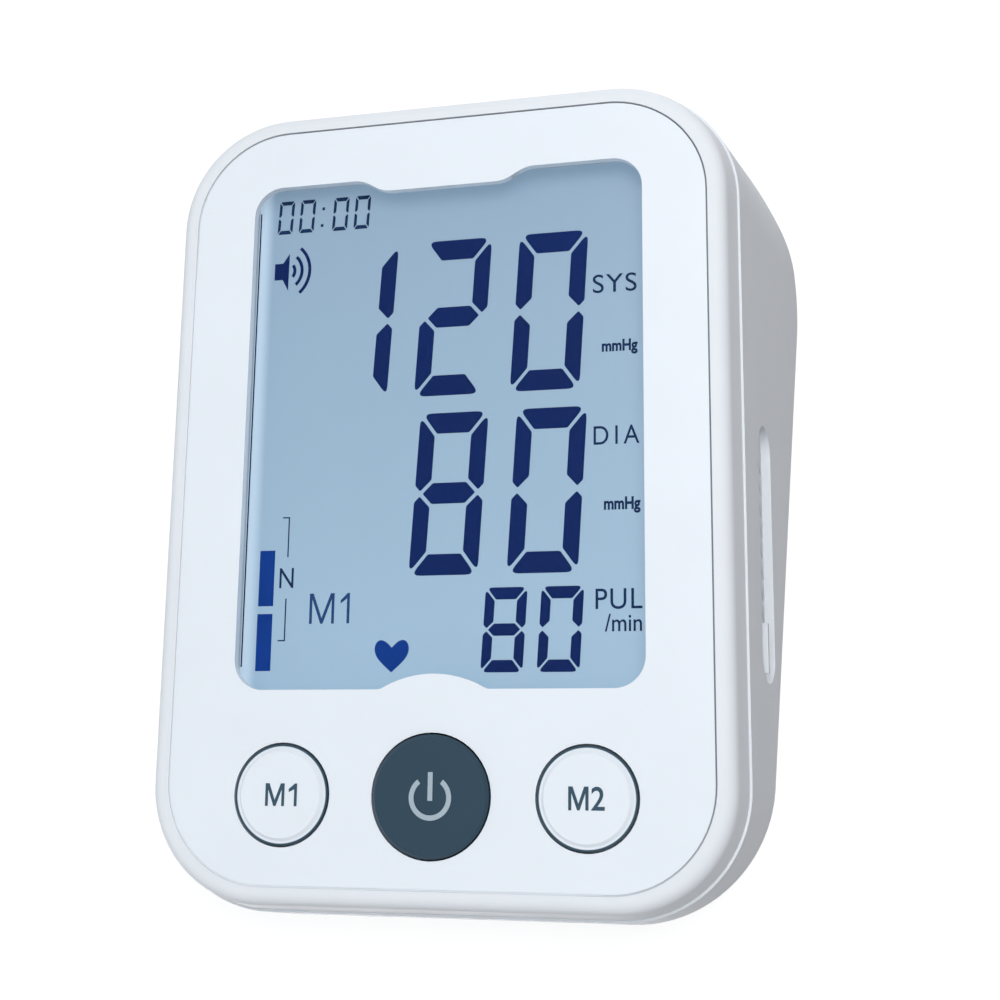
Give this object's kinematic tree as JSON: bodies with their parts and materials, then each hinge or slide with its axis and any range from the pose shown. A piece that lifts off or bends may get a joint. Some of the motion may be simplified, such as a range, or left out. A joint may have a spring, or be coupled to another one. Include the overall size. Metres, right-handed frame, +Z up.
{
  "type": "digital blood pressure monitor",
  "caption": "Desktop upper-arm blood pressure monitor: white wedge housing with a large recessed display, round keys, cuff air socket, sound outlet and battery bay in the base.",
  "frame": {"origin": "on the table, under the middle of the housing's box", "axes": "+Z up, -Y towards the user, +X to the user's right"},
  "size_m": [0.1172, 0.1388, 0.0665],
  "materials": {
    "housing_white": "satin moulded white",
    "panel_white": "smooth printed white",
    "clear_window": "clear",
    "key_slate": "satin",
    "display_ground": "satin",
    "frame_grey": "matte",
    "light_guide": "milky",
    "board_green": "satin",
    "chip_black": "matte",
    "switch_black": "matte",
    "steel": "bright",
    "rubber_grey": "matte",
    "silicone": "milky",
    "moulded_grey": "satin",
    "cell_wrap": "gloss"
  },
  "bodies": {
    "housing": {"front_shell": "housing_white", "rear_shell": "housing_white", "front_panel": "panel_white", "display_window": "clear_window", "lcd_frame": "frame_grey", "lcd_glass": "display_ground", "lcd_backlight": "light_guide", "lcd_connector": "rubber_grey", "main_board": "board_green", "board_screws": "steel", "controller_chip": "chip_black", "power_switch": "switch_black", "memory_switch_1": "switch_black", "memory_switch_2": "switch_black", "housing_screws": "steel", "cuff_socket": "moulded_grey", "air_tee": "moulded_grey", "pump_head": "moulded_grey", "pump_motor": "steel", "pump_saddle": "rubber_grey", "release_valve": "steel", "pressure_sensor": "chip_black", "socket_tube": "silicone", "pump_tube": "silicone", "valve_tube": "silicone", "sensor_tube": "silicone", "speaker": "chip_black", "battery_cell_1": "cell_wrap", "battery_cell_2": "cell_wrap", "battery_cell_3": "cell_wrap", "battery_cell_4": "cell_wrap", "battery_plates": "steel", "battery_leaf_springs": "steel", "feet": "rubber_grey"},
    "power_key": {"power_key": "key_slate", "power_plunger": "moulded_grey"},
    "memory_key_1": {"memory_key_1": "panel_white", "memory_key_1_ring": "key_slate", "memory_plunger_1": "moulded_grey"},
    "memory_key_2": {"memory_key_2": "panel_white", "memory_key_2_ring": "key_slate", "memory_plunger_2": "moulded_grey"},
    "battery_cover": {"battery_cover": "housing_white"}
  },
  "joints": [
    {"name": "power_key_press", "type": "slide", "parent": "housing", "child": "power_key", "axis": [0, 0.3305, -0.9438], "range_m": [0, 0.0006], "stiffness_N_per_m": 800},
    {"name": "memory_key_1_press", "type": "slide", "parent": "housing", "child": "memory_key_1", "axis": [0, 0.3305, -0.9438], "range_m": [0, 0.0006], "stiffness_N_per_m": 800},
    {"name": "memory_key_2_press", "type": "slide", "parent": "housing", "child": "memory_key_2", "axis": [0, 0.3305, -0.9438], "range_m": [0, 0.0006], "stiffness_N_per_m": 800},
    {"name": "battery_door_hinge", "type": "hinge", "parent": "housing", "child": "battery_cover", "pos_m": [0.0115, -0.0161, 0.0025], "axis": [-1, 0, 0], "range_deg": [0, 80]}
  ]
}
